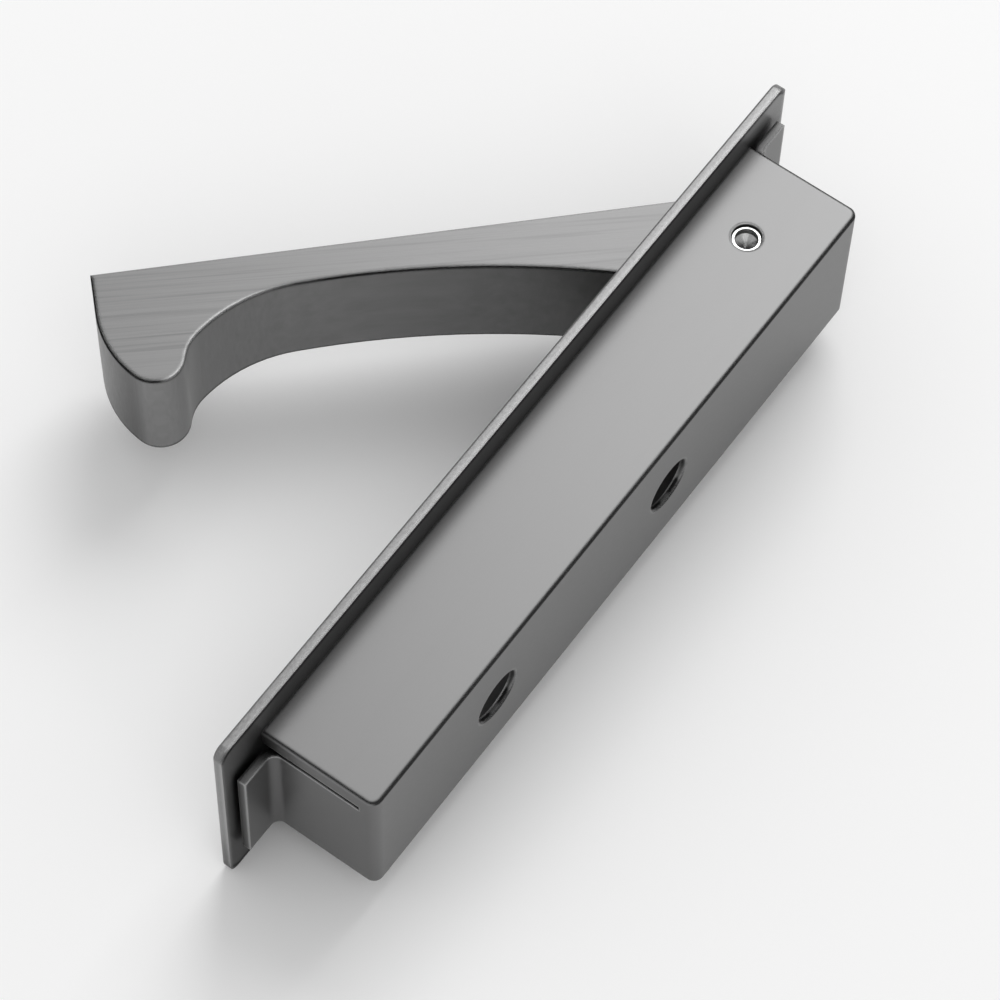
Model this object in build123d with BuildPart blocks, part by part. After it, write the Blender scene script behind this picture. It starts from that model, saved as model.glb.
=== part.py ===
from build123d import *
from math import acos, atan2, cos, degrees, radians, sin, sqrt, tan
import os

# Concealed cabinet pull with a swing-out hook lever, drawn in millimetres.
# The faceplate lies in the XZ plane with its front face towards -Y and its rear face on y = 0.
# The housing reaches back along +Y into the cabinet front. The lever turns about a vertical
# pin and is drawn swung out, as it stands ready for the hand.

os.makedirs("parts", exist_ok=True)

# Lever, across the housing
lever_width = 14.7
lever_reach = 72.2
open_angle = 45.0

# Faceplate
plate_thickness = 1.2
plate_end_overhang = 6.5
plate_side_overhang = 4.5
plate_corner_radius = 1.4
plate_edge_radius = 0.3
slot_corner_radius = 0.8

# Housing, open at the front behind the faceplate
housing_depth = 14.7
side_wall = 2.05
back_wall = 0.8
end_wall = 1.05
long_edge_radius = 0.4
end_bend_radius = 1.2
inner_corner_radius = 0.6
end_band = 2.35
end_slit_width = 0.8
end_slit_stop = 2.1

# Flanges, turned outwards from the end walls behind the faceplate
flange_reach = 4.75
flange_standoff = 0.4
flange_bend_radius = 1.15

# Fixing holes in the back wall
fixing_spacing = 32.0
fixing_centre = 7.2
fixing_diameter = 6.6
fixing_rim = 0.25

# Pivot
pivot_to_back = 7.45
finger_room = 7.6
pin_diameter = 3.5
pin_recess = 0.4
pin_bore_diameter = 2.7
pin_bore_depth = 0.9
pin_cone_angle = 118.0
pin_edge = 0.12
pin_running_clearance = 0.03
bush_wall = 0.55
bush_sleeve = 5.0
bush_flange_diameter = 8.4
bush_flange = 0.45
bush_gap = 0.15

# Lever outline: end, nose, throat, arch, back, shoulder and cam in turn
end_flat = 5.0
nose_radius = 3.4
nose_inset = 5.8
nose_clearance = 0.2
nose_angle = 257.0
throat_radius = 5.6
throat_angle = 222.0
arch_angle = 183.0
back_angle = 165.4
neck_thickness = 4.4
shoulder_start = 15.5
shoulder_radius = 20.0
cam_root_radius = 5.0
cam_flat = 5.0
cam_corner = 5.25
heel_clearance = 0.25
heel_start = 2.7
heel_ramp = 0.6
heel_end = 3.9
tail_reach = 4.78
tail_clearance = 0.3
lever_edge = 0.15

# Clearances round the lever in the faceplate's slot, and its depth in it when shut
lever_recess = 0.2
slot_side_clearance = 0.4
slot_end_clearance = 0.5

# Detent spring, a leaf under the lever's cam
spring_thickness = 0.35
spring_width = 8.0
spring_foot = 6.0
spring_blade = 7.6
spring_lead = 0.5
spring_tip = 2.0
spring_tip_drop = 0.35
spring_bend_radius = 1.5
spring_cam_clearance = 0.1

# Places that follow from the sizes above
back_face = housing_depth - back_wall
pivot_depth = back_face - pivot_to_back
lever_face = pivot_depth + plate_thickness - lever_recess
lever_depth = lever_face + pivot_to_back - nose_clearance
tail_sweep_radius = sqrt(lever_face**2 + tail_reach**2)
pivot_inset = tail_sweep_radius + tail_clearance + end_wall
housing_length = pivot_inset + lever_reach + finger_room
housing_height = lever_width + 2 * (bush_flange + bush_gap + side_wall)
plate_length = housing_length + 2 * plate_end_overhang
plate_height = housing_height + 2 * plate_side_overhang
half_length = housing_length / 2
half_height = housing_height / 2
cavity_half_length = half_length - end_wall
cavity_half_height = half_height - side_wall
pivot_x = -half_length + pivot_inset
flange_edge = half_height - long_edge_radius
strip_edge = half_height - end_band - end_slit_width
bend_outer_radius = flange_bend_radius + end_wall
flange_back = flange_standoff + end_wall
pin_bearing_radius = pin_diameter / 2 + pin_running_clearance
bush_radius = pin_bearing_radius + bush_wall
slot_start = pivot_x - sqrt((tail_sweep_radius + tail_clearance) ** 2 - pivot_depth**2)
slot_end = pivot_x + lever_reach + slot_end_clearance
slot_half_height = lever_width / 2 + slot_side_clearance


# Faceplate
with BuildPart() as faceplate:
    with BuildSketch(Plane.XZ) as plate_outline:
        RectangleRounded(plate_length, plate_height, plate_corner_radius)
    extrude(amount=plate_thickness)
    fillet(faceplate.edges().group_by(Axis.Y)[0], plate_edge_radius)
    with BuildSketch(Plane.XZ) as slot_outline:
        with Locations(((slot_start + slot_end) / 2, 0)):
            RectangleRounded(slot_end - slot_start, 2 * slot_half_height, slot_corner_radius)
    extrude(amount=plate_thickness, mode=Mode.SUBTRACT)
faceplate.part.label = "faceplate"
export_step(faceplate.part, "parts/faceplate.step")


# Housing: one piece, with a folded flange at each end
with BuildPart() as housing:
    with BuildSketch(Plane.XY.offset(-half_height)) as body_plan:
        with Locations((0, housing_depth / 2)):
            Rectangle(housing_length, housing_depth)
        fillet(body_plan.vertices().group_by(Axis.Y)[-1], end_bend_radius)
    extrude(amount=housing_height)
    upper_rim = housing.faces().sort_by(Axis.Z)[-1].edges().sort_by(Axis.Y)[1:]
    lower_rim = housing.faces().sort_by(Axis.Z)[0].edges().sort_by(Axis.Y)[1:]
    fillet(upper_rim + lower_rim, long_edge_radius)

    # Cavity
    with BuildSketch(Plane.XY.offset(-cavity_half_height)) as cavity_plan:
        with Locations((0, back_face / 2)):
            Rectangle(2 * cavity_half_length, back_face)
        fillet(cavity_plan.vertices().group_by(Axis.Y)[-1], inner_corner_radius)
    extrude(amount=2 * cavity_half_height, mode=Mode.SUBTRACT)

    # Each end wall turns out into a flange as one strip, open to one side wall by a slit.
    # Turned half round about Y, the one end is the other.
    for side in (-1, 1):
        strip_low = min(-side * flange_edge, side * strip_edge)
        inner_foot = (side * cavity_half_length, flange_standoff + bend_outer_radius)
        inner_end = (side * (cavity_half_length + bend_outer_radius), flange_standoff)
        tip_front = (side * (half_length + flange_reach), flange_standoff)
        tip_back = (side * (half_length + flange_reach), flange_back)
        bend_end = (side * (half_length + flange_bend_radius), flange_back)
        bend_foot = (side * half_length, flange_back + flange_bend_radius)
        with BuildSketch(Plane.XY.offset(strip_low)) as flange_plan:
            with BuildLine():
                Line(bend_foot, inner_foot)
                RadiusArc(inner_foot, inner_end, -side * bend_outer_radius)
                Polyline(inner_end, tip_front, tip_back, bend_end)
                RadiusArc(bend_end, bend_foot, side * flange_bend_radius)
            make_face()
        extrude(amount=flange_edge + strip_edge)

        # Room in front of the bend, between the side walls
        mouth_low = min(-side * cavity_half_height, side * strip_edge)
        mouth_corner = (side * (cavity_half_length + bend_outer_radius), 0)
        with BuildSketch(Plane.XY.offset(mouth_low)) as mouth_plan:
            with BuildLine():
                RadiusArc(inner_foot, inner_end, -side * bend_outer_radius)
                Polyline(inner_end, mouth_corner, (side * cavity_half_length, 0), inner_foot)
            make_face()
        extrude(amount=cavity_half_height + strip_edge, mode=Mode.SUBTRACT)

        # Slit
        slit_depth = housing_depth - end_slit_stop
        slit_height = side * (strip_edge + end_slit_width / 2)
        with Locations((side * half_length, slit_depth / 2, slit_height)):
            Box(2 * end_wall, slit_depth, end_slit_width, mode=Mode.SUBTRACT)

    # Fixing holes
    with Locations(Plane((fixing_centre, housing_depth, 0), x_dir=(1, 0, 0), z_dir=(0, 1, 0))):
        with GridLocations(fixing_spacing, 1, 2, 1):
            Hole(fixing_diameter / 2, back_wall)
    rims = housing.faces().sort_by(Axis.Y)[-1].edges().filter_by(GeomType.CIRCLE)
    fillet(rims, fixing_rim)

    # Pin holes through both side walls
    with Locations((pivot_x, pivot_depth, 0)):
        Hole(pin_diameter / 2, half_height)
housing.part.label = "housing"
export_step(housing.part, "parts/housing.step")


# Lever, drawn in a plane that has its origin on the pin and X along the outer face
lever_plane = Plane(
    (pivot_x, pivot_depth, 0),
    x_dir=(cos(radians(open_angle)), -sin(radians(open_angle)), 0),
    z_dir=(0, 0, 1),
)
nose_y = lever_depth - nose_radius - lever_face
flat_y = end_flat - lever_face
end_rise = nose_y - flat_y
end_radius = (nose_inset**2 + end_rise**2 - nose_radius**2) / (2 * (nose_inset - nose_radius))
end_sweep = degrees(atan2(end_rise, end_radius - nose_inset))
nose_x = lever_reach - nose_inset
heel_flat = pivot_to_back - heel_clearance

# The arch and the back are two arcs from the throat's end to the shoulder's start. Their
# radii follow from the run between these places and from the drop to the thinnest neck.
nose_cos, nose_sin = cos(radians(nose_angle)), sin(radians(nose_angle))
throat_cos, throat_sin = cos(radians(throat_angle)), sin(radians(throat_angle))
arch_cos, arch_sin = cos(radians(arch_angle)), sin(radians(arch_angle))
throat_end_x = nose_x + nose_radius * nose_sin + throat_radius * (nose_sin - throat_sin)
throat_end_y = nose_y - nose_radius * nose_cos + throat_radius * (throat_cos - nose_cos)
run = throat_end_x - shoulder_start
drop = throat_end_y + lever_face - neck_thickness
arch_run, arch_drop = arch_sin - throat_sin, throat_cos - arch_cos
back_run, back_drop = sin(radians(back_angle)) - arch_sin, 1 + arch_cos
turn = arch_run * back_drop - back_run * arch_drop
arch_radius = (run * back_drop - drop * back_run) / turn
back_radius = (drop * arch_run - run * arch_drop) / turn


def off_cam(along, distance):
    """Point on a line at this distance from the pin, square to the open position."""
    across = radians(90 + open_angle)
    return (
        distance * cos(across) - along * sin(across),
        distance * sin(across) + along * cos(across),
    )


with BuildPart() as lever:
    with BuildSketch(lever_plane.offset(-lever_width / 2)) as lever_outline:
        with BuildLine() as outline:
            face = Line((-tail_reach, -lever_face), (lever_reach, -lever_face))
            end_line = Line(face @ 1, (lever_reach, flat_y))
            end_curve = JernArc(end_line @ 1, (0, 1), end_radius, end_sweep)
            nose = JernArc(end_curve @ 1, end_curve % 1, nose_radius, nose_angle - 90 - end_sweep)
            throat = JernArc(nose @ 1, nose % 1, throat_radius, throat_angle - nose_angle)
            arch = JernArc(throat @ 1, throat % 1, arch_radius, arch_angle - throat_angle)
            back = JernArc(arch @ 1, arch % 1, back_radius, back_angle - arch_angle)
            shoulder_rise = cam_flat - (back @ 1).Y
            shoulder_cos = (
                shoulder_rise + shoulder_radius * cos(radians(back_angle)) - cam_root_radius
            ) / (shoulder_radius + cam_root_radius)
            shoulder_angle = degrees(acos(shoulder_cos))
            shoulder = JernArc(back @ 1, back % 1, shoulder_radius, shoulder_angle - back_angle)
            root = JernArc(shoulder @ 1, shoulder % 1, cam_root_radius, 180 - shoulder_angle)
            cam_end = sqrt(cam_corner**2 - cam_flat**2)
            front_flat = Line(root @ 1, (-cam_end, cam_flat))
            corner = RadiusArc(front_flat @ 1, off_cam(-cam_end, cam_flat), -cam_corner)
            Polyline(
                corner @ 1,
                off_cam(heel_start - heel_ramp, cam_flat),
                off_cam(heel_start, heel_flat),
                off_cam(heel_end, heel_flat),
                face @ 0,
            )
        make_face()
    extrude(amount=lever_width)
    rims = lever.faces().sort_by(Axis.Z)[-1].edges() + lever.faces().sort_by(Axis.Z)[0].edges()
    chamfer(rims, lever_edge)
    with Locations((pivot_x, pivot_depth, 0)):
        Hole(bush_radius, lever_width / 2)
lever.part.label = "lever"
export_step(lever.part, "parts/lever.step")


# Pivot pin, hollow at both ends for riveting
pin_half_length = half_height - pin_recess
cone_depth = pin_bore_diameter / 2 / tan(radians(pin_cone_angle / 2))
with BuildPart() as pivot_pin:
    with BuildSketch(Plane((pivot_x, pivot_depth, 0), x_dir=(1, 0, 0), z_dir=(0, -1, 0))) as pin_section:
        with BuildLine():
            Polyline(
                (0, 0),
                (pin_diameter / 2, 0),
                (pin_diameter / 2, pin_half_length - pin_edge),
                (pin_diameter / 2 - pin_edge, pin_half_length),
                (pin_bore_diameter / 2, pin_half_length),
                (pin_bore_diameter / 2, pin_half_length - pin_bore_depth),
                (0, pin_half_length - pin_bore_depth - cone_depth),
                (0, 0),
            )
        make_face()
    revolve(axis=Axis((pivot_x, pivot_depth, 0), (0, 0, 1)))
    mirror(about=Plane.XY)
pivot_pin.part.label = "pivot_pin"
export_step(pivot_pin.part, "parts/pivot_pin.step")


# Flanged bushes, one in each side of the lever
for bush_name, side in (("upper_bush", 1), ("lower_bush", -1)):
    with BuildPart() as bush:
        with BuildSketch(Plane.XY.offset(side * lever_width / 2)) as flange_ring:
            with Locations((pivot_x, pivot_depth)):
                Circle(bush_flange_diameter / 2)
        extrude(amount=side * bush_flange)
        with BuildSketch(Plane.XY.offset(side * lever_width / 2)) as sleeve_ring:
            with Locations((pivot_x, pivot_depth)):
                Circle(bush_radius)
        extrude(amount=-side * bush_sleeve)
        with Locations((pivot_x, pivot_depth, side * lever_width / 2)):
            Hole(pin_bearing_radius, bush_sleeve)
    bush.part.label = bush_name
    export_step(bush.part, f"parts/{bush_name}.step")


# Detent spring: a foot on the back wall and a blade that rises under the lever's cam
foot_face = back_face - spring_thickness
blade_top = pivot_depth + cam_corner + spring_cam_clearance
apex_x = pivot_x + spring_lead
with BuildPart() as detent_spring:
    with BuildSketch(Plane.XY.offset(-spring_width / 2)) as spring_side:
        with BuildLine():
            FilletPolyline(
                (apex_x + spring_blade + spring_foot, foot_face),
                (apex_x + spring_blade, foot_face),
                (apex_x, blade_top),
                (apex_x - spring_tip, blade_top + spring_tip_drop),
                radius=spring_bend_radius,
            )
            offset(amount=spring_thickness, side=Side.RIGHT)
        make_face()
    extrude(amount=spring_width)
detent_spring.part.label = "detent_spring"
export_step(detent_spring.part, "parts/detent_spring.step")
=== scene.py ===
import bpy
import numpy as np
from math import cos, radians, sin
from mathutils import Matrix, Vector


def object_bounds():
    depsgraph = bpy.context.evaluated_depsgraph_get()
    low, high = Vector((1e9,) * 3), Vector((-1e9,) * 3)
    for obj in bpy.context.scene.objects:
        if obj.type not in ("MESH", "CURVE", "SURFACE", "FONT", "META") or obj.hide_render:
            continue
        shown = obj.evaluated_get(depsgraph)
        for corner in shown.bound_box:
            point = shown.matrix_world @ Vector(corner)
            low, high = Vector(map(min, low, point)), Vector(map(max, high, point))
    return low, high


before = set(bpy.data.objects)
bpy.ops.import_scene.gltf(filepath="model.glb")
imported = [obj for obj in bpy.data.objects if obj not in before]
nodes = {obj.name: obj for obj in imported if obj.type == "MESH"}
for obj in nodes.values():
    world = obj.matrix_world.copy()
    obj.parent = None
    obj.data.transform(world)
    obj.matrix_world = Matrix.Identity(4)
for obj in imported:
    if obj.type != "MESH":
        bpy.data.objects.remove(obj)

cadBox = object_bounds()
print("stage 1: frame loaded,", len(nodes), "solids")


# Node tools

class Wire:
    # A node's output socket that takes part in sums as a number would.
    def __init__(self, bench, socket):
        self.bench = bench
        self.socket = socket

    def maths(self, operation, first, second):
        return self.bench.add("ShaderNodeMath", {"operation": operation}, [first, second])

    def __add__(self, other):
        return self.maths("ADD", self, other)

    def __radd__(self, other):
        return self.maths("ADD", other, self)

    def __sub__(self, other):
        return self.maths("SUBTRACT", self, other)

    def __rsub__(self, other):
        return self.maths("SUBTRACT", other, self)

    def __mul__(self, other):
        return self.maths("MULTIPLY", self, other)

    def __rmul__(self, other):
        return self.maths("MULTIPLY", other, self)

    def __truediv__(self, other):
        return self.maths("DIVIDE", self, other)

    def __rtruediv__(self, other):
        return self.maths("DIVIDE", other, self)

    def __pow__(self, other):
        return self.maths("POWER", self, other)

    def __rpow__(self, other):
        return self.maths("POWER", other, self)

    def clamped(self):
        return self.maths("MINIMUM", self.maths("MAXIMUM", self, 0.0), 1.0)

    def rising(self, start, gain):
        # 0 up to start, from there up by gain, and 1 from then on.
        return ((self - start) * gain).clamped()


class Bench:
    # Holds one node tree. add() makes a node: type, settings set first, then values or links.
    def __init__(self, tree):
        self.tree = tree
        tree.nodes.clear()

    def add(self, kind, settings=None, inputs=None, output=0):
        node = self.tree.nodes.new(kind)
        for name, value in (settings or {}).items():
            if name == "stops":
                self.setStops(node, value)
            else:
                setattr(node, name, value)
        pairs = enumerate(inputs) if isinstance(inputs, list) else (inputs or {}).items()
        for name, value in pairs:
            if isinstance(value, Wire):
                self.tree.links.new(value.socket, node.inputs[name])
            elif value is not None:
                node.inputs[name].default_value = value
        return Wire(self, node.outputs[output]) if len(node.outputs) else node

    def setStops(self, node, stops):
        ramp = node.color_ramp
        while len(ramp.elements) < len(stops):
            ramp.elements.new(0.5)
        for element, (place, tone) in zip(ramp.elements, stops):
            element.position = place
            element.color = grey(tone)

    def dot(self, first, second):
        settings = {"operation": "DOT_PRODUCT"}
        return self.add("ShaderNodeVectorMath", settings, [first, second], output=1)

    def blendTones(self, factor, low, high):
        settings = {"data_type": "RGBA"}
        return self.add("ShaderNodeMix", settings, {0: factor, 6: grey(low), 7: grey(high)}, 2)


def grey(tone):
    return (tone, tone, tone, 1.0)


# Camera and surroundings

camera = {
    "place": (0.18668, 0.12413, 0.40814),  # metres, beyond the upper right of the housing
    "azimuth": 33.964,  # degrees from +X towards +Y, seen from the part
    "elevation": 61.604,
    "roll": 2.202,
    "lens": 152.72,  # mm
    "sensor": 36,  # mm
    "clip": (0.01, 20),  # metres
}


def makeCamera():
    azimuth, elevation, roll = (radians(camera[k]) for k in ("azimuth", "elevation", "roll"))
    back = Vector((cos(elevation) * cos(azimuth), cos(elevation) * sin(azimuth), sin(elevation)))
    level = (-back).cross(Vector((0, 0, 1))).normalized()
    upright = level.cross(-back)
    right = cos(roll) * level + sin(roll) * upright
    up = cos(roll) * upright - sin(roll) * level
    data = bpy.data.cameras.new("camera")
    data.lens = camera["lens"]
    data.sensor_width = camera["sensor"]
    data.clip_start, data.clip_end = camera["clip"]
    eye = bpy.data.objects.new("camera", data)
    turned = Matrix((right, up, back)).transposed().to_4x4()
    eye.matrix_world = Matrix.Translation(Vector(camera["place"])) @ turned
    bpy.context.scene.collection.objects.link(eye)
    bpy.context.scene.camera = eye


# Metres and watts
lamps = {
    "key": {"place": (-0.74, -0.18, 0.92), "width": 0.7, "power": 5.8},
    "fill": {"place": (0.5, 0.6, 1.1), "width": 0.9, "power": 2.0},
}


def makeLamps():
    # Square lamps that look at the origin.
    for name, lamp in lamps.items():
        data = bpy.data.lights.new(name, "AREA")
        data.shape = "SQUARE"
        data.size = lamp["width"]
        data.energy = lamp["power"]
        light = bpy.data.objects.new(name, data)
        light.location = lamp["place"]
        light.rotation_mode = "QUATERNION"
        light.rotation_quaternion = (-light.location).to_track_quat("-Z", "Y")
        bpy.context.scene.collection.objects.link(light)


sky = {"seen": 1.0, "lighting": 0.6}  # strengths


def makeSky():
    # White where the camera, a reflection or glass looks at it, a plain grey as light.
    world = bpy.data.worlds.new("sky")
    world.use_nodes = True
    bpy.context.scene.world = world
    bench = Bench(world.node_tree)
    path = bench.add("ShaderNodeLightPath")
    outputs = path.socket.node.outputs
    seen = Wire(bench, outputs["Is Camera Ray"]) + Wire(bench, outputs["Is Glossy Ray"])
    seen = (seen + Wire(bench, outputs["Is Transmission Ray"])).clamped()
    strength = seen * (sky["seen"] - sky["lighting"]) + sky["lighting"]
    backdrop = bench.add("ShaderNodeBackground", {}, {"Color": grey(1.0), "Strength": strength})
    bench.add("ShaderNodeOutputWorld", {}, {"Surface": backdrop})


floor = {
    "drop": 0.0001,  # metres below the faceplate's lower edge
    "reach": 3.0,  # metres from the middle to each side
    "tone": 0.97,
    "roughness": 0.9,
    "shine": 0.1,
}


def makeFloor():
    # A flat square at one height: each corner is the reach times 1 or -1 in X and in Y.
    square = np.array([(-1, -1), (1, -1), (1, 1), (-1, 1)]) * floor["reach"]
    height = np.full(len(square), cadBox[0].z - floor["drop"])
    corners = np.column_stack((square, height))
    mesh = bpy.data.meshes.new("floor")
    mesh.from_pydata(corners.tolist(), [], [(0, 1, 2, 3)])
    ground = bpy.data.objects.new("floor", mesh)
    bpy.context.scene.collection.objects.link(ground)
    paper = bpy.data.materials.new("floorPaper")
    paper.use_nodes = True
    bench = Bench(paper.node_tree)
    surface = bench.add(
        "ShaderNodeBsdfPrincipled",
        {},
        {
            "Base Color": grey(floor["tone"]),
            "Roughness": floor["roughness"],
            "Specular IOR Level": floor["shine"],
        },
    )
    bench.add("ShaderNodeOutputMaterial", {}, {"Surface": surface})
    mesh.materials.append(paper)


makeCamera()
makeLamps()
makeSky()
makeFloor()
bpy.context.scene.view_settings.view_transform = "Standard"
print("stage 2: camera, lamps and floor")


# Metal finishes

# What most of them share. Sizes are in metres. A start and a gain say where an effect begins
# and how fast it grows.
plainMetal = {
    "metallic": 0.85,
    "roughness": 0.36,
    "roughSpread": 0.10,  # how far the grain changes the roughness
    "turn": 0.0,  # degrees about Z that bring the grain's way to +X
    "grainDepth": 0.000001,
    "streakStart": 0.0,
    "side": (0.0, 1.0, 0.0),  # edges that lean this way take sideRims, the others rims
    "shown": (0.0, 0.0, 0.0),  # edges that lean this way are coloured, all if it is zero
    "plainEnds": 0.0,  # 1 leaves edges plain that lean neither to side nor the opposite way
    "rounded": True,  # whether an edge reflects as a rounded one
    "walls": (1.0, 1.0),  # painted shade and light: factors on walls that face away from side, and on those that face it
    "blackness": 0.0,  # share by which the darkest painted edge lines are painted black and reflect nothing
    "highlightStart": 0.0,
    "highlightGain": 0.0,
    "highlightTone": 1.0,  # factor on sharp edges, a painted highlight
    "highlightCornerLoss": 0.0,  # how far the painted highlight falls in the painted shade of closed corners
    "highlightLoss": 0.0,  # how far the painted highlight falls where the painted edge band is dark
}

plateBrushed = {
    "tone": 0.18,
    "grainSize": (0.0004, 0.0002, 0.0002),  # length, width and height
    "grainTone": 0.6,  # how far the grain changes the tone
    "grainDepth": 0.000004,
    "streakSize": (0.02, 0.0005, 0.0005),
    "streakTone": 0.1,  # how far streaks darken the level faces
    "edgeSize": 0.0013,  # reach of an edge
    "rounded": False,
    "side": (0.0, -1.0, 0.0),
    "plainEnds": 1.0,
    # Painted highlights and shade: factors on the tone over an edge, from 0, a wall, to 1, a level
    # face; above 1 lightens it, below 1 darkens it
    "rims": [(0.0, 1.0), (0.004, 0.1), (0.5, 0.1), (0.54, 1.3), (0.75, 1.3), (0.85, 1.0)],
    "sideRims": [(0.0, 0.9), (0.3, 0.9), (0.38, 0.2), (0.7, 0.2), (0.78, 1.0), (1.0, 1.0)],
    "blackness": 1.0,
    # painted highlight on the sharp edges
    "highlightStart": 0.12,
    "highlightGain": 18.0,
    "highlightTone": 2.0,
    "highlightCornerLoss": 0.2,
    "highlightLoss": 1.0,
    "cornerReach": 0.012,  # free space that keeps a corner open
    "cornerStart": 0.05,
    "cornerGain": 4.0,
    "cornerShadeTone": -0.85,  # painted shade: how far closed corners darken the tone
}

# In the finishes below, the edge, wall and corner values paint highlights, dark edge lines and
# shade into the colour
housingSatin = {
    "tone": 0.172, "roughness": 0.37, "roughSpread": 0.03,
    "grainSize": (0.0006, 0.0002, 0.0002), "grainTone": 0.03,
    "streakSize": (0.03, 0.004, 0.004), "streakTone": 0.03,
    "edgeSize": 0.0005,
    "rims": [(0.0, 0.8), (0.08, 1.1), (0.4, 1.1), (0.5, 0.1), (0.93, 0.1), (0.98, 1.1), (1.0, 1.0)],
    "sideRims": [(0.0, 0.78), (0.004, 1.15), (0.03, 1.15), (0.08, 0.1), (0.95, 0.1), (1.0, 1.0)],
    "blackness": 0.15,
    "highlightStart": 0.06, "highlightGain": 14.0, "highlightTone": 2.7, "highlightCornerLoss": 0.95,
    "cornerReach": 0.006, "cornerStart": 0.45, "cornerGain": 6.0, "cornerShadeTone": -0.92,
}

leverBrushed = {
    "tone": 0.168, "turn": 48.0,
    "grainSize": (0.02, 0.0002, 0.002), "grainTone": 0.22, "grainDepth": 0.000003,
    "streakSize": (0.045, 0.0006, 0.004), "streakTone": 0.5, "streakStart": 0.05,
    "edgeSize": 0.0008, "rounded": False, "side": (-0.27, 0.963, 0.0), "shown": (0.83, 0.56, 0.0),
    "rims": [
        (0.0, 1.0), (0.004, 1.4), (0.03, 1.4), (0.08, 0.08), (0.95, 0.08), (0.98, 0.95), (1.0, 0.95)
    ],
    "sideRims": [
        (0.0, 1.0), (0.03, 0.1), (0.5, 0.1), (0.53, 2.6), (0.86, 2.6), (0.93, 0.95), (1.0, 0.95)
    ],
    "walls": (0.5, 1.38), "blackness": 1.0,
    "cornerReach": 0.004, "cornerStart": 0.45, "cornerGain": 4.0, "cornerShadeTone": -0.6,
}

pinTurned = {
    "tone": 0.75, "metallic": 0.9, "roughness": 0.22, "roughSpread": 0.05,
    "grainSize": (0.0003, 0.0003, 0.0003), "grainTone": 0.05,
    "streakSize": (0.002, 0.002, 0.002), "streakTone": 0.02,
    "edgeSize": 0.00006,
    "rims": [(0.0, 1.0), (0.1, 0.3), (0.6, 0.3), (0.8, 1.0), (1.0, 1.0)],
    "sideRims": [(0.0, 1.0), (0.1, 0.3), (0.6, 0.3), (0.8, 1.0), (1.0, 1.0)],
    "cornerReach": 0.002, "cornerStart": 0.22, "cornerGain": 3.0, "cornerShadeTone": -0.85,
}

springRolled = {
    "tone": 0.30, "metallic": 0.9, "roughness": 0.3, "roughSpread": 0.08,
    "grainSize": (0.003, 0.0002, 0.0002), "grainTone": 0.08,
    "streakSize": (0.01, 0.001, 0.001), "streakTone": 0.03,
    "edgeSize": 0.00006,
    "rims": [(0.0, 1.0), (0.3, 1.3), (0.7, 1.3), (1.0, 1.0)],
    "sideRims": [(0.0, 1.0), (0.3, 1.3), (0.7, 1.3), (1.0, 1.0)],
    "highlightStart": 0.03, "highlightGain": 9.0, "highlightTone": 1.5, "highlightCornerLoss": 0.5,
    "cornerReach": 0.002, "cornerStart": 0.25, "cornerGain": 3.0, "cornerShadeTone": -0.5,
}

# The same for all metals
samples = {"edge": 6, "corner": 8}
noise = {"grainDetail": 3.0, "streakDetail": 2.0, "roughness": 0.6}
rises = {  # start and gain
    "toSide": (0.5, 3.0),  # by the lean of an edge, from -1 to 1
    "toShown": (-0.5, 3.0),
    "toWall": (-0.4, 2.5),
    "toBlack": (0.8, 8.0),  # by how far the factor on an edge is below 1
}
blackTone = 0.004
brightest = 4.0  # the largest factor that a finish puts on its tone
leastLength = 0.001  # keeps the horizontal length, which divides, above 0


def drawnNoise(bench, place, size, detail):
    # Noise between -1 and 1, drawn out to this size along the turned axes.
    stretched = bench.add(
        "ShaderNodeMapping",
        {"vector_type": "POINT"},
        {"Vector": place, "Scale": tuple(1.0 / width for width in size)},
    )
    cloud = bench.add(
        "ShaderNodeTexNoise",
        {"noise_dimensions": "3D"},
        {"Vector": stretched, "Scale": 1.0, "Detail": detail, "Roughness": noise["roughness"]},
    )
    return (cloud - 0.5) * 2.0


def rimBands(bench, levelness, bands):
    # The factor at this levelness. A ramp holds no more than 1, so it is divided and put back.
    stops = [(at, factor / brightest) for at, factor in bands]
    return bench.add("ShaderNodeValToRGB", {"stops": stops}, [levelness]) * brightest


def edgeFactor(bench, finish, shape, levelness):
    # Painted highlights and shade: the factor on the tone from the way that the rounded surface
    # leans, 1 where it is plain.
    horizontal = (1 + leastLength - levelness) ** 0.5
    lean = bench.dot(shape, finish["side"]) / horizontal
    toSide = lean.rising(*rises["toSide"])
    toOther = (-1 * lean).rising(*rises["toSide"])
    rims = rimBands(bench, levelness, finish["rims"])
    sideRims = rimBands(bench, levelness, finish["sideRims"])
    share = (bench.dot(shape, finish["shown"]) / horizontal).rising(*rises["toShown"])
    share = share * (1 - (1 - toSide - toOther) * finish["plainEnds"])
    factor = share * (toSide * (sideRims - rims) + rims - 1) + 1
    # Painted shade and light: walls are coloured darker or lighter by the way they face
    away, near = finish["walls"]
    wall = lean.rising(*rises["toWall"]) * (near - away) + away
    return factor * ((1 - levelness) * (wall - 1) + 1)


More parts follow.
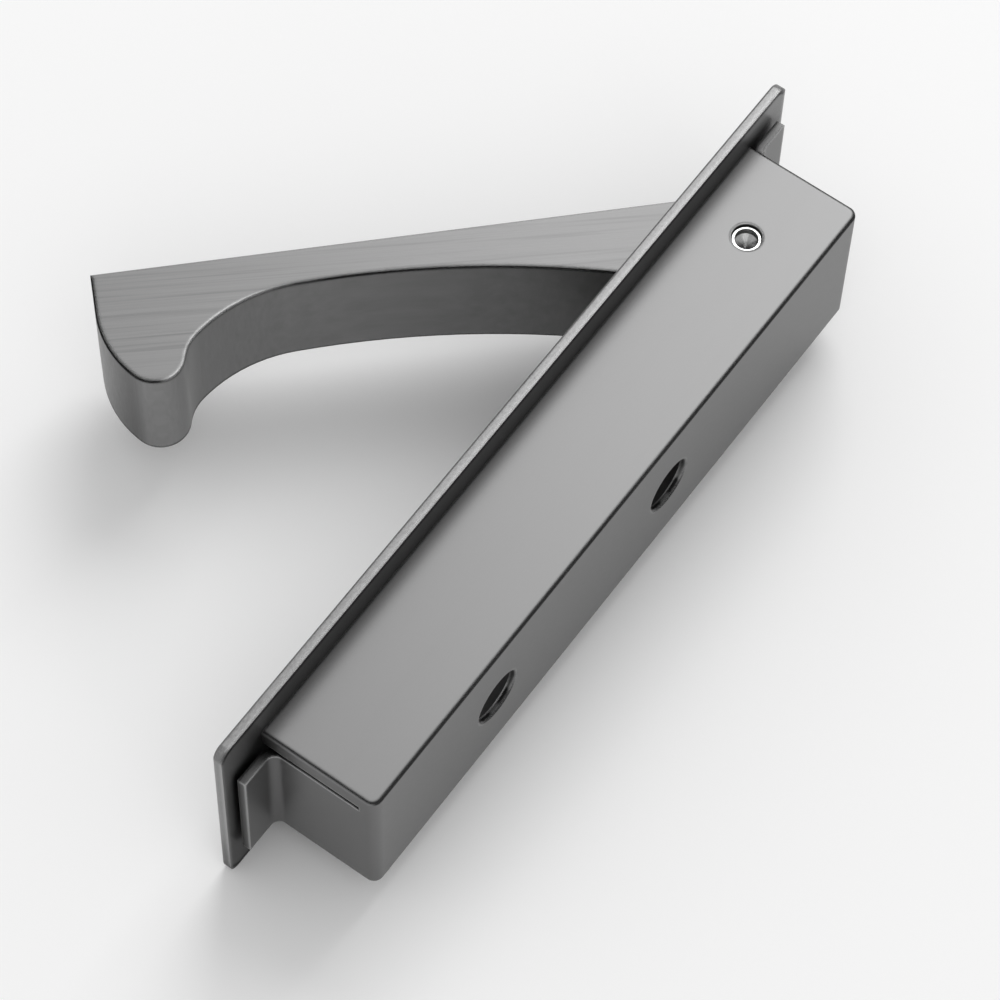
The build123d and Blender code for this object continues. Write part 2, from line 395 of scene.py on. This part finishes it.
def makeMetal(name, changes):
    finish = {**plainMetal, **changes}
    material = bpy.data.materials.new(name)
    material.use_nodes = True
    bench = Bench(material.node_tree)
    place = bench.add("ShaderNodeTexCoord", output=3)
    turned = bench.add(
        "ShaderNodeMapping",
        {"vector_type": "POINT"},
        {"Vector": place, "Rotation": (0.0, 0.0, radians(finish["turn"]))},
    )
    grain = drawnNoise(bench, turned, finish["grainSize"], noise["grainDetail"])
    streaks = drawnNoise(bench, turned, finish["streakSize"], noise["streakDetail"])

    # The rounded surface's direction. levelness is 0 on walls and 1 on level faces
    radius = {"Radius": finish["edgeSize"]}
    rounded = bench.add("ShaderNodeBevel", {"samples": samples["edge"]}, radius)
    shape = bench.add(
        "ShaderNodeVectorTransform",
        {"vector_type": "NORMAL", "convert_from": "WORLD", "convert_to": "OBJECT"},
        [rounded],
    )
    upward = bench.add("ShaderNodeSeparateXYZ", {}, [shape], output=2)
    levelness = (upward * upward).clamped()
    edgeLightShade = edgeFactor(bench, finish, shape, levelness)

    # Painted highlight: sharp edges, where the rounded direction leaves the flat one, are coloured
    # light
    flat = bench.add("ShaderNodeNewGeometry", output=1)
    edgeHighlight = (1 - bench.dot(rounded, flat)).rising(finish["highlightStart"], finish["highlightGain"])
    edgeHighlight = edgeHighlight * (1 - (1 - edgeLightShade).clamped() * finish["highlightLoss"])

    # Painted shade: corners that light hardly reaches are darkened in the colour
    settings, reach = {"samples": samples["corner"]}, {"Distance": finish["cornerReach"]}
    openness = bench.add("ShaderNodeAmbientOcclusion", settings, reach, output=1)
    cornerShade = (1 - openness).rising(finish["cornerStart"], finish["cornerGain"])

    # All of it as one factor, worked on the tone
    drawn = (streaks - finish["streakStart"]).clamped() * levelness
    change = (grain * finish["grainTone"] - drawn * finish["streakTone"] + 1.0) * edgeLightShade
    change = change * (cornerShade * finish["cornerShadeTone"] + 1.0)
    highlightLevel = (1 - cornerShade * finish["highlightCornerLoss"]) * finish["highlightTone"]
    change = edgeHighlight * (highlightLevel - change) + change
    most = min(brightest, 1.0 / finish["tone"])  # a tone stays below 1
    colour = bench.blendTones((change / most).clamped(), 0.0, finish["tone"] * most)

    bump = {"Height": grain, "Distance": finish["grainDepth"]}
    if finish["rounded"]:
        bump["Normal"] = rounded
    surface = bench.add(
        "ShaderNodeBsdfPrincipled",
        {},
        {
            "Base Color": colour,
            "Metallic": finish["metallic"],
            "Roughness": grain * finish["roughSpread"] + finish["roughness"],
            "Normal": bench.add("ShaderNodeBump", {}, bump),
        },
    )

    # Painted shade: the darkest lines of the edges are painted black and reflect nothing
    if finish["blackness"]:
        black = (1 - edgeLightShade).rising(*rises["toBlack"]) * finish["blackness"]
        line = bench.add("ShaderNodeBsdfDiffuse", {}, {"Color": grey(blackTone)})
        surface = bench.add("ShaderNodeMixShader", {}, [black, surface, line])
    bench.add("ShaderNodeOutputMaterial", {}, {"Surface": surface})
    return material


bushPlastic = {
    "pebbles": 4000.0,  # per metre
    "detail": 2.0,
    "dark": 0.035,
    "light": 0.06,
    "depth": 0.00001,  # metres
    "roughness": 0.45,
    "roughSpread": 0.2,
}


def makePlastic(name, finish):
    material = bpy.data.materials.new(name)
    material.use_nodes = True
    bench = Bench(material.node_tree)
    place = bench.add("ShaderNodeTexCoord", output=3)
    size = {"Vector": place, "Scale": finish["pebbles"], "Detail": finish["detail"]}
    pebble = bench.add("ShaderNodeTexNoise", {}, size)
    bump = {"Height": pebble, "Distance": finish["depth"]}
    surface = bench.add(
        "ShaderNodeBsdfPrincipled",
        {},
        {
            "Base Color": bench.blendTones(pebble, finish["dark"], finish["light"]),
            "Roughness": pebble * finish["roughSpread"] + finish["roughness"],
            "Normal": bench.add("ShaderNodeBump", {}, bump),
        },
    )
    bench.add("ShaderNodeOutputMaterial", {}, {"Surface": surface})
    return material


def dress(node, material):
    slots = nodes[node].data.materials
    slots.clear()
    slots.append(material)


plastic = makePlastic("bushPlastic", bushPlastic)
dress("faceplate", makeMetal("plateBrushed", plateBrushed))
dress("housing", makeMetal("housingSatin", housingSatin))
dress("lever", makeMetal("leverBrushed", leverBrushed))
dress("pivot_pin", makeMetal("pinTurned", pinTurned))
dress("detent_spring", makeMetal("springRolled", springRolled))
dress("upper_bush", plastic)
dress("lower_bush", plastic)
print("stage 3: finishes")
